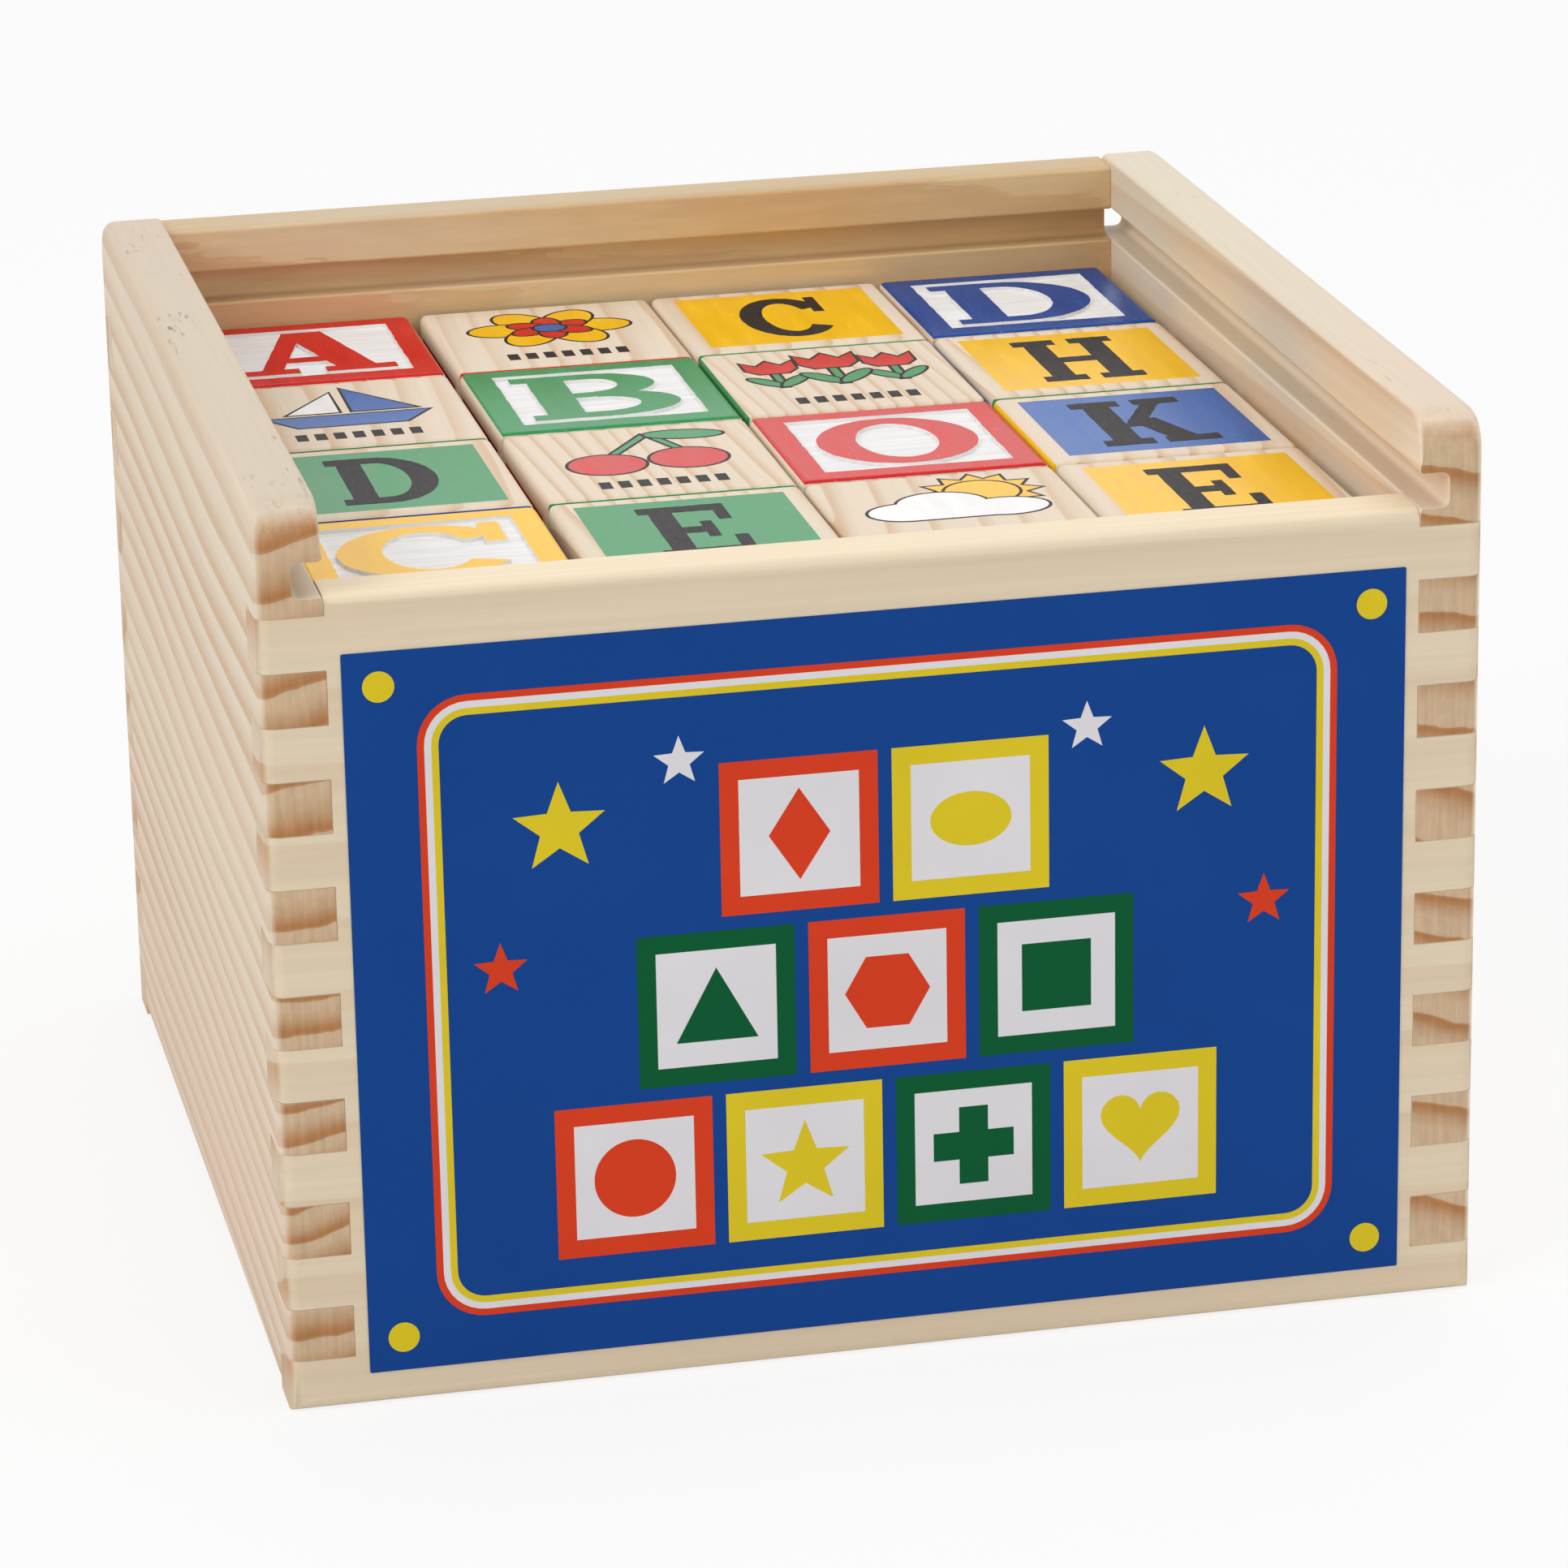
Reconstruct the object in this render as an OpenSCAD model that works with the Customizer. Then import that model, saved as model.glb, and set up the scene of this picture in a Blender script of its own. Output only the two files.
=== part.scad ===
// Boxed set of wooden letter blocks: an open pine box with finger-jointed corners,
// grooves for a sliding lid, a paper label on the front and three layers of blocks.
// The origin is the middle of the underside. The label faces -Y, and +Z is up.

/* [Letter blocks] */
// Edge length of one block
block_edge = 31.75; // [26:0.25:40]
// Width of the flat eased along every edge of a block
block_ease = 0.8; // [0.4:0.1:2]
// Gap between neighbouring blocks
block_gap = 0.4; // [0.3:0.1:1]
// Wider gap after the first column, where a fingertip lifts a block
pinch_gap = 1.4; // [0.4:0.1:4]
// Width of the raised frame round a routed letter panel
frame_w = 3.8; // [2:0.1:6]
// Depth of the routed ground inside that frame
ground_depth = 0.5; // [0.4:0.1:1.5]

/* [Box walls] */
// Thickness of the four walls
wall = 8; // [7:0.5:12]
// Room between the first column of blocks and the left side
left_room = 0.8; // [0.4:0.1:4]
// Room between the last column of blocks and the right side
right_room = 2; // [0.4:0.1:4]
// Room between the back row of blocks and the back panel
back_room = 0.7; // [0.4:0.1:4]
// Room between the front row of blocks and the front panel
front_room = 3.1; // [0.4:0.1:6]
// Radius of the rounded top corners of the two sides
corner_r = 5; // [3:0.5:7]
// How far the back panel stays below the tops of the sides
back_drop = 1; // [0.5:0.1:3]

/* [Lid groove] */
// Room between the blocks and the underside of a lid
lid_room = 3.4; // [1:0.1:8]
// Height of the groove that a lid slides in
groove_h = 4.3; // [3:0.1:6]
// Depth of that groove in the sides and the back panel
groove_depth = 3.6; // [2:0.1:4]
// Height of the rail left above the groove
rail_h = 7.1; // [6:0.1:12]

/* [Finger joints] */
// Fingers up each corner, those of both panels together
finger_count = 15; // [9:2:19]
// Height of the front panel's lip above the top finger
lip_h = 2.2; // [1:0.1:5]

/* [Bottom board] */
// Thickness of the board, which the blocks stand on
board_t = 3; // [2:0.5:5]
// How far the board is let into each wall
board_seat = 4; // [2:0.5:5]
// Clearance between the board's edges and the ends of its seat
board_fit = 0.2; // [0.1:0.05:0.5]

/* [Label] */
// Thickness of the paper
label_t = 0.2; // [0.1:0.05:0.5]
// Bare wood between the label and the finger joints
label_side = 1.7; // [0.5:0.1:8]
// Bare wood below the label
label_foot = 4.3; // [2:0.1:10]
// Bare wood above the label
label_head = 7; // [2:0.1:12]

/* [Hidden] */
columns = 4;
rows = 4;
layers = 3;
layer_names = ["bottom", "middle", "top"];

// Overrun of every cut past the face that it opens
overrun = 1;
$fn = 64;

pine = "burlywood";
pale_pine = "wheat";
board_wood = "tan";
paper = "royalblue";

// Plan of the box, worked out from the blocks that it holds
grid_w = columns * block_edge + pinch_gap + (columns - 2) * block_gap;
grid_d = rows * block_edge + (rows - 1) * block_gap;
inner_w = grid_w + left_room + right_room;
inner_d = grid_d + back_room + front_room;
outer_w = inner_w + 2 * wall;
outer_d = inner_d + 2 * wall;

// Levels, from the underside up
blocks_top = board_t + layers * block_edge;
lip_z = blocks_top + lid_room;
rail_z = lip_z + groove_h;
side_h = rail_z + rail_h;
back_h = side_h - back_drop;
finger_h = (lip_z - lip_h) / finger_count;

label_w = inner_w - 2 * label_side;
label_h = lip_z - label_foot - label_head;

// The way that each block is turned: the axis through its two routed letter panels.
// The top layer is set by hand, with the back row first, and lower layers take turns.
top_axes = [
    ["z", "y", "y", "z"],
    ["y", "z", "x", "y"],
    ["y", "y", "z", "x"],
    ["z", "y", "y", "y"]
];
turns = ["x", "y", "z"];

// Row 1 is at the back and column 1 at the left, as seen from the front
BLOCKS = [
    for (layer = [0 : layers - 1])
        for (row = [0 : rows - 1])
            for (column = [0 : columns - 1])
                [str(layer_names[layer], "_block_r", row + 1, "_c", column + 1), column, row, layer]
];

function panel_axis(column, row, layer) =
    layer == layers - 1 ? top_axes[row][column] : turns[(column + row + layer) % len(turns)];

function column_x(column) =
    -inner_w / 2 + left_room + block_edge / 2 + column * (block_edge + block_gap)
    + (column > 0 ? pinch_gap - block_gap : 0);

function row_y(row) = inner_d / 2 - back_room - block_edge / 2 - row * (block_edge + block_gap);

function layer_z(layer) = board_t + block_edge / 2 + layer * block_edge;

// Square with its four corners cut by the eased flats
module eased_square(edge, ease) {
    half = edge / 2;
    flat_end = half - ease;
    polygon([
        [half, flat_end], [flat_end, half], [-flat_end, half], [-half, flat_end],
        [-half, -flat_end], [-flat_end, -half], [flat_end, -half], [half, -flat_end]
    ]);
}

// Prism of that square along Z, as long as the block
module eased_prism() {
    translate([0, 0, -block_edge / 2])
        linear_extrude(block_edge)
            eased_square(block_edge, block_ease);
}

// Cube with all twelve edges eased
module eased_cube() {
    intersection() {
        eased_prism();
        rotate([90, 0, 0]) eased_prism();
        rotate([0, 90, 0]) eased_prism();
    }
}

// Ground routed out of the two faces across the Z axis
module routed_grounds() {
    ground_w = block_edge - 2 * frame_w;
    for (side = [-1, 1])
        translate([0, 0, side * (block_edge + overrun - ground_depth) / 2])
            cube([ground_w, ground_w, ground_depth + overrun], center = true);
}

// One block, centred, with its letter panels across the given axis
module letter_block(axis) {
    turn = axis == "x" ? [0, 90, 0] : axis == "y" ? [90, 0, 0] : [0, 0, 0];
    color(pale_pine)
        difference() {
            eased_cube();
            rotate(turn) routed_grounds();
        }
}

module placed_block(column, row, layer) {
    translate([column_x(column), row_y(row), layer_z(layer)])
        letter_block(panel_axis(column, row, layer));
}

// Side seen square on, with its two top corners rounded
module side_outline() {
    translate([-outer_d / 2, 0])
        square([outer_d, side_h - corner_r]);
    translate([-outer_d / 2 + corner_r, 0])
        square([outer_d - 2 * corner_r, side_h]);
    for (end = [-1, 1])
        translate([end * (outer_d / 2 - corner_r), side_h - corner_r])
            circle(corner_r);
}

// Notches in both ends of a side, for the fingers of the front and back panels
module side_notches() {
    for (k = [0 : 2 : finger_count - 1])
        for (end = [-1, 1])
            translate([wall / 2, end * (outer_d - wall + overrun) / 2, (k + 0.5) * finger_h])
                cube([wall + 2 * overrun, wall + overrun, finger_h], center = true);
}

// One side, outer face at X = 0 and inner face towards +X
module side_wall() {
    difference() {
        rotate([90, 0, 90])
            linear_extrude(wall)
                side_outline();
        side_notches();
        // The lid groove runs out at both ends
        translate([wall - groove_depth, -outer_d / 2 - overrun, lip_z])
            cube([groove_depth + overrun, outer_d + 2 * overrun, groove_h]);
        // Seat of the bottom board
        translate([wall - board_seat, -outer_d / 2 - overrun, -overrun])
            cube([board_seat + overrun, outer_d + 2 * overrun, board_t + overrun]);
    }
}

module left_side() {
    color(pine)
        translate([-outer_w / 2, 0, 0])
            side_wall();
}

module right_side() {
    color(pine)
        mirror([1, 0, 0])
            translate([-outer_w / 2, 0, 0])
                side_wall();
}

// Panel between the sides, of a given height, with fingers that reach their outer faces.
// Its outer face is at Y = 0 and its inner face towards +Y.
module fingered_panel(height) {
    difference() {
        union() {
            translate([-inner_w / 2, 0, 0])
                cube([inner_w, wall, height]);
            for (k = [0 : 2 : finger_count - 1])
                translate([-outer_w / 2, 0, k * finger_h])
                    cube([outer_w, wall, finger_h]);
        }
        // Seat of the bottom board
        translate([-inner_w / 2 - board_seat, wall - board_seat, -overrun])
            cube([inner_w + 2 * board_seat, board_seat + overrun, board_t + overrun]);
    }
}

module front_panel() {
    color(pine)
        translate([0, -outer_d / 2, 0])
            fingered_panel(lip_z);
}

module back_panel() {
    color(pine)
        translate([0, outer_d / 2, 0])
            mirror([0, 1, 0])
                difference() {
                    fingered_panel(back_h);
                    translate([-inner_w / 2 - overrun, wall - groove_depth, lip_z])
                        cube([inner_w + 2 * overrun, groove_depth + overrun, groove_h]);
                }
}

module bottom_board() {
    board_w = inner_w + 2 * (board_seat - board_fit);
    board_d = inner_d + 2 * (board_seat - board_fit);
    color(board_wood)
        translate([-board_w / 2, -board_d / 2, 0])
            cube([board_w, board_d, board_t]);
}

module front_label() {
    color(paper)
        translate([-label_w / 2, -outer_d / 2 - label_t, label_foot])
            cube([label_w, label_t, label_h]);
}

front_panel();
back_panel();
left_side();
right_side();
bottom_board();
front_label();
for (b = BLOCKS)
    placed_block(b[1], b[2], b[3]);
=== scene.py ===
import math

import bpy
from bpy.props import FloatProperty, FloatVectorProperty, IntProperty, PointerProperty
from mathutils import Matrix, Vector, noise


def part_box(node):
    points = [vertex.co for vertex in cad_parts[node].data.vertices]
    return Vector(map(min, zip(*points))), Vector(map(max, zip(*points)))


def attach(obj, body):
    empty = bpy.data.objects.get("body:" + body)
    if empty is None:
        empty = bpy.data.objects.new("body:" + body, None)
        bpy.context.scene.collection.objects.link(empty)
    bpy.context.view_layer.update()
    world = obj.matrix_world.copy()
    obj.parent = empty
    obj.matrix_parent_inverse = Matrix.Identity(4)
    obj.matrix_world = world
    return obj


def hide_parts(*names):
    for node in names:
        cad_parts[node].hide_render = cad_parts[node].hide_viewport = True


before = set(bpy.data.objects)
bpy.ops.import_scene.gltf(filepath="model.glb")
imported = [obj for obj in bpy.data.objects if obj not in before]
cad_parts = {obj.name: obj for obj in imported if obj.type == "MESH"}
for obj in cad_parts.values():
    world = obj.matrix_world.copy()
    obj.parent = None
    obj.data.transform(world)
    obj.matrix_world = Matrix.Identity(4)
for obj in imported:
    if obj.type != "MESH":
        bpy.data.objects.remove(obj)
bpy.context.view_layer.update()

bl_info = {
    "name": "Boxed letter blocks",
    "version": (1, 0, 0),
    "blender": (4, 5, 0),
    "location": "View3D > Sidebar > Letter blocks",
    "description": "Dresses the packed box of wooden letter blocks",
    "category": "Object",
}

LAYERS = ("bottom", "middle", "top")
PAINT_NAMES = ("red", "green", "blue", "yellow")
AXES = (Vector((1, 0, 0)), Vector((0, 1, 0)), Vector((0, 0, 1)))

# Corners this close count as one place, and these are merged after a Boolean
NEAR = 1e-5
MERGED = 1e-6
# Faces that meet at more than this angle keep a sharp edge
CREASE = math.radians(50)
# A normal with this share along an axis faces that way
FACING = 0.99


def linear(red, green, blue):
    """Screen colour from 0 to 255, as the linear colour that shaders take."""
    shares = (red / 255, green / 255, blue / 255)
    return tuple(s / 12.92 if s <= 0.04045 else ((s + 0.055) / 1.055) ** 2.4 for s in shares)


def length(name, description, default):
    return FloatProperty(name=name, description=description, default=default, min=0, precision=5,
                         unit="LENGTH")


def colour(name, description, rgb):
    return FloatVectorProperty(name=name, description=description, default=linear(*rgb), size=3,
                               min=0, max=1, subtype="COLOR")


class BoxSizes(bpy.types.PropertyGroup):
    """Sizes of the box that its CAD nodes' corners don't give"""

    corner_round: length("Side corners", "Radius of the rounded top corners of the two sides", 0.005)
    edge_round: length("Outer edges", "Rounding sanded on the outer edges of the box", 0.0017)
    inner_round: length("Inner edges", "Rounding sanded on the inner top edges of the box", 0.0007)
    lip_round: length("Groove lips", "Rounding along both lips of the lid groove", 0.0004)
    root_round: length("Groove roots", "Rounding in the two inner corners of the lid groove", 0.0009)
    joint_line: length("Joint lines", "Fine bevel that lets the finger joints show", 0.0001)
    groove_height: length("Groove height", "Height of the groove that a lid slides in", 0.0043)
    groove_depth: length("Groove depth", "Depth of that groove", 0.0036)
    finger_lip: length("Lip over the fingers", "Height of the front panel above its top finger", 0.0022)
    board_seat: length("Board seat", "How far the bottom board is let into the walls", 0.004)
    fingers: IntProperty(name="Fingers", description="Fingers up each corner, of both panels together",
                         default=15, min=3)


class BlockSizes(bpy.types.PropertyGroup):
    """Sizes of one letter block"""

    edge_round: length("Block edges", "Rounding of a block's edges", 0.001)
    frame_width: length("Painted frame", "Width of the frame round a routed letter panel", 0.0038)
    ground_depth: length("Ground depth", "Depth of the routed ground in that frame", 0.0005)
    panel_margin: length("Printed panel margin", "Bare wood round a printed letter panel", 0.0027)
    print_height: length("Print height", "Height that printing stands on the wood", 0.00005)
    raised_height: length("Raised letter height", "Height of a raised letter", 0.0212)
    raised_width: length("Raised letter width", "Width of a broad raised letter", 0.0205)
    printed_height: length("Printed letter height", "Height of a printed letter", 0.0206)
    printed_width: length("Printed letter width", "Width of a broad printed letter", 0.0142)


class LabelSizes(bpy.types.PropertyGroup):
    """Layout of the printed label"""

    border_side: length("Border inset at the sides", "From the label's side edges to the striped border",
                        0.0085)
    border_end: length("Border inset at top and foot", "From the label's top and foot to the border", 0.006)
    border_round: length("Border corners", "Radius of the border's corners", 0.006)
    stripe: length("Stripe width", "Width of each of the border's three stripes", 0.00085)
    tile: length("Tile edge", "Edge of one printed tile", 0.0192)
    tile_gap: length("Tile gap", "Blue left between tiles", 0.0017)


class Finishes(bpy.types.PropertyGroup):
    """Colours of wood, paint and print"""

    pine: colour("Pale pine", "Early wood of the box", (231, 219, 196))
    pine_front: colour("Front pine", "Yellower early wood of the front panel", (232, 215, 186))
    pine_band: colour("Pine band", "Late wood that stripes the box", (206, 166, 128))
    pine_blush: colour("Pine blush", "Pinkish patches in the box's wood", (235, 212, 191))
    pine_end: colour("Pine end grain", "Sawn ends of the sides", (214, 186, 152))
    pine_end_band: colour("End grain band", "Dark rings in the sawn ends of the sides", (182, 126, 76))
    pine_pale_end: colour("Pale end grain", "Sawn ends of the front and back panels", (224, 204, 178))
    heart: colour("Heart wood", "Warmer wood of the back panel", (229, 194, 142))
    heart_band: colour("Heart wood band", "Late wood of the back panel", (198, 138, 78))
    block_pine: colour("Block pine", "Bare wood of the blocks", (236, 220, 199))
    block_band: colour("Block band", "Grain lines of the blocks", (206, 160, 112))
    board: colour("Bottom board", "Plywood under the blocks", (206, 172, 126))
    red: colour("Red", "Red paint and print", (214, 24, 22))
    green: colour("Green", "Green paint and print", (44, 148, 88))
    blue: colour("Blue", "Blue paint and print", (6, 72, 152))
    yellow: colour("Yellow", "Yellow paint and print", (255, 196, 0))
    print_blue: colour("Printed blue", "Lighter blue of the prints", (44, 100, 178))
    white: colour("White", "Routed ground and white print", (248, 247, 246))
    ink: colour("Ink", "Printed letters and outlines", (34, 31, 34))
    label_blue: colour("Label blue", "Ground of the label", (20, 70, 146))
    label_red: colour("Label red", "Orange red of the label", (222, 66, 34))
    label_yellow: colour("Label yellow", "Yellow of the label", (226, 202, 40))
    label_green: colour("Label green", "Dark green of the label", (10, 92, 52))
    label_white: colour("Label white", "White of the label", (230, 227, 230))


class StageSettings(bpy.types.PropertyGroup):
    """Camera, lamps and floor"""

    lens: FloatProperty(name="Lens", description="Focal length of the camera in millimetres", default=146.5,
                        min=1)
    azimuth: FloatProperty(name="Azimuth", description="Turn of the camera round the box",
                           default=math.radians(-12.118), subtype="ANGLE")
    elevation: FloatProperty(name="Elevation", description="Height of the camera above the horizon",
                             default=math.radians(18.674), subtype="ANGLE")
    roll: FloatProperty(name="Roll", description="Tilt of the camera about its own axis",
                        default=math.radians(-1.081), subtype="ANGLE")
    distance: length("Distance", "From the camera to the point that it aims at", 0.8334)
    aim: FloatVectorProperty(name="Aim", description="Point that the camera looks at", size=3,
                             default=(0.0037, 0, 0.0486), subtype="TRANSLATION", unit="LENGTH")
    floor_size: length("Floor", "Edge of the square floor", 8)
    floor_colour: colour("Floor colour", "Pale floor under the box", (246, 246, 246))


def deselect():
    bpy.ops.object.select_all(action="DESELECT")


def activate(piece):
    deselect()
    piece.select_set(True)
    bpy.context.view_layer.objects.active = piece


def slab(name, low, high):
    """Cube primitive stretched between two corners, with its place in its mesh."""
    low, high = Vector(low), Vector(high)
    deselect()
    bpy.ops.mesh.primitive_cube_add(size=1, location=(low + high) / 2)
    piece = bpy.context.object
    piece.name = name
    piece.scale = high - low
    bpy.ops.object.transform_apply(location=True, rotation=True, scale=True)
    return piece


def prism(points, low, high):
    """Upright prism on a flat outline, given as points in order."""
    deselect()
    bpy.ops.mesh.primitive_cylinder_add(vertices=len(points), radius=1, depth=1)
    piece = bpy.context.object
    corners = piece.data.vertices
    for i, (x, y) in enumerate(points):
        for corner in (corners[2 * i], corners[2 * i + 1]):
            corner.co = (x, y, high if corner.co.z > 0 else low)
    face_outwards(piece)
    return piece


def face_outwards(piece):
    activate(piece)
    bpy.ops.object.mode_set(mode="EDIT")
    bpy.ops.mesh.select_all(action="SELECT")
    bpy.ops.mesh.normals_make_consistent(inside=False)
    bpy.ops.object.mode_set(mode="OBJECT")


def join(pieces):
    activate(pieces[0])
    for piece in pieces[1:]:
        piece.select_set(True)
    if len(pieces) > 1:
        bpy.ops.object.join()
    return pieces[0]


def combine(piece, others, operation):
    """Boolean of a piece with several others, which are used up, and a clean mesh after it."""
    other = join(others)
    activate(piece)
    bpy.ops.object.modifier_add(type="BOOLEAN")
    boolean = piece.modifiers[-1]
    boolean.operation = operation
    boolean.solver = "EXACT"
    boolean.use_self = True
    boolean.object = other
    bpy.ops.object.modifier_apply(modifier=boolean.name)
    bpy.data.objects.remove(other)
    bpy.ops.object.mode_set(mode="EDIT")
    bpy.ops.mesh.select_all(action="SELECT")
    bpy.ops.mesh.remove_doubles(threshold=MERGED)
    bpy.ops.mesh.dissolve_limited(angle_limit=math.radians(0.2))
    bpy.ops.mesh.normals_make_consistent(inside=False)
    bpy.ops.object.mode_set(mode="OBJECT")


def clear_marks(mesh):
    for parts in (mesh.vertices, mesh.edges, mesh.polygons):
        parts.foreach_set("select", [False] * len(parts))


def round_edges(piece, chosen, width, segments):
    """Bevels the edges whose two ends pass the test."""
    activate(piece)
    mesh = piece.data
    bpy.context.tool_settings.mesh_select_mode = (False, True, False)
    clear_marks(mesh)
    for edge in mesh.edges:
        a, b = (mesh.vertices[i].co for i in edge.vertices)
        edge.select = chosen(a, b)
    bpy.ops.object.mode_set(mode="EDIT")
    bpy.ops.mesh.bevel(offset=width, segments=segments, affect="EDGES")
    bpy.ops.object.mode_set(mode="OBJECT")


def open_faces(piece, chosen):
    """Enters edit mode with the faces selected whose middle and normal pass the test."""
    activate(piece)
    bpy.context.tool_settings.mesh_select_mode = (False, False, True)
    clear_marks(piece.data)
    for face in piece.data.polygons:
        face.select = chosen(face.center, face.normal)
    bpy.ops.object.mode_set(mode="EDIT")


def fray(piece, chosen, longest, amount):
    """Splits the level edges between chosen corners into short lengths and roughens them."""
    activate(piece)
    mesh = piece.data
    bpy.context.tool_settings.mesh_select_mode = (False, True, False)
    for _ in range(8):
        clear_marks(mesh)
        long_edges = 0
        for edge in mesh.edges:
            a, b = (mesh.vertices[i].co for i in edge.vertices)
            level = abs(a.z - b.z) < MERGED / 10
            edge.select = level and chosen(a) and chosen(b) and (a - b).length > longest
            long_edges += edge.select
        if not long_edges:
            break
        bpy.ops.object.mode_set(mode="EDIT")
        bpy.ops.mesh.subdivide(number_cuts=1)
        bpy.ops.object.mode_set(mode="OBJECT")
    for corner in [v for v in mesh.vertices if chosen(v.co)]:
        waver = noise.noise_vector(Vector((corner.co.x, corner.co.y, 0)) * 0.8 / longest) * amount
        corner.co.x += waver.x
        corner.co.y += waver.y


def fine_bevel(piece, width):
    """Breaks every sharp edge that is left."""
    activate(piece)
    bpy.ops.object.modifier_add(type="BEVEL")
    bevel = piece.modifiers[-1]
    bevel.width = width
    bevel.segments = 1
    bevel.limit_method = "ANGLE"
    bevel.angle_limit = CREASE
    bpy.ops.object.modifier_apply(modifier=bevel.name)


def smooth(piece):
    """Smooth shading that keeps broad faces flat."""
    activate(piece)
    bpy.ops.object.shade_smooth_by_angle(angle=CREASE)
    bpy.ops.object.modifier_add(type="WEIGHTED_NORMAL")
    weighted = piece.modifiers[-1]
    weighted.keep_sharp = True
    bpy.ops.object.modifier_apply(modifier=weighted.name)


def stand_for(piece, node, body):
    """The piece takes the place of a CAD node and rides on its body."""
    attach(piece, body)
    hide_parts(node)


class Nodes:
    """Short ways to add nodes to a tree."""

    def __init__(self, tree):
        self.tree = tree

    def add(self, kind, inputs, output=0, **settings):
        node = self.tree.nodes.new(kind)
        for key, value in settings.items():
            setattr(node, key, value)
        for key, value in inputs.items():
            if isinstance(value, bpy.types.NodeSocket):
                self.tree.links.new(value, node.inputs[key])
            else:
                node.inputs[key].default_value = value
        return node.outputs[output]

    def math(self, operation, a, b=0.0):
        return self.add("ShaderNodeMath", {0: a, 1: b}, operation=operation)

    def span(self, value, low, high, to_low=0.0, to_high=1.0):
        return self.add("ShaderNodeMapRange", {"Value": value, "From Min": low, "From Max": high,
                                               "To Min": to_low, "To Max": to_high})

    def seen(self, level):
        """A level for what the camera sees, straight or mirrored, and zero for what only lights."""
        rays = self.add("ShaderNodeLightPath", {}).node.outputs
        mirrored = self.math("MAXIMUM", rays["Is Glossy Ray"], rays["Is Transmission Ray"])
        return self.math("MULTIPLY", self.math("MAXIMUM", rays["Is Camera Ray"], mirrored), level)


class Surface(Nodes):
    """A new material on Object coordinates."""

    def __init__(self, name):
        self.material = bpy.data.materials.new(name)
        self.material.use_nodes = True
        super().__init__(self.material.node_tree)
        self.shader = self.tree.nodes["Principled BSDF"]

    def place(self, centre=(0, 0, 0), turn=(0, 0, 0)):
        """Object coordinates about a centre, turned by degrees."""
        where = self.add("ShaderNodeTexCoord", {}, "Object")
        turned = [math.radians(t) for t in turn]
        return self.add("ShaderNodeMapping", {"Vector": where, "Location": centre, "Rotation": turned},
                        vector_type="TEXTURE")

    def stretch(self, where, scale):
        return self.add("ShaderNodeVectorMath", {0: where, 1: scale}, operation="MULTIPLY")

    def grain(self, where, scale, detail=2.0):
        """Noise with so many repeats a metre along each axis."""
        inputs = {"Vector": self.stretch(where, scale), "Scale": 1.0, "Detail": detail, "Roughness": 0.55}
        return self.add("ShaderNodeTexNoise", inputs)

    def blend(self, share, a, b, blend_type="MIX"):
        a, b = ((*c, 1.0) if isinstance(c, tuple) else c for c in (a, b))
        return self.add("ShaderNodeMix", {0: share, 6: a, 7: b}, 2, data_type="RGBA",
                        blend_type=blend_type)

    def grey(self, value):
        return self.add("ShaderNodeCombineColor", {0: value, 1: value, 2: value})

    def finish(self, base, roughness, height=None, depth=0.0001, strength=0.3, specular=0.4):
        self.tree.links.new(base, self.shader.inputs["Base Color"])
        if isinstance(roughness, bpy.types.NodeSocket):
            self.tree.links.new(roughness, self.shader.inputs["Roughness"])
        else:
            self.shader.inputs["Roughness"].default_value = roughness
        self.shader.inputs["Specular IOR Level"].default_value = specular
        if height is not None:
            bump = self.add("ShaderNodeBump", {"Strength": strength, "Distance": depth, "Height": height})
            self.tree.links.new(bump, self.shader.inputs["Normal"])
        return self.material


GRAIN_TURNS = {"x": (0, 90, 0), "y": (-90, 0, 0), "z": (0, 0, 0)}
GRAIN_LINES = dict(zip("xyz", AXES))
# Late wood: how far through it, and how dark it is there
LATE_STEPS = ((0.0, 0.08), (0.42, 0.45), (0.75, 0.9), (0.89, 1.0))
FLECK = linear(126, 92, 74)
WORN_WOOD = linear(226, 206, 176)


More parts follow.
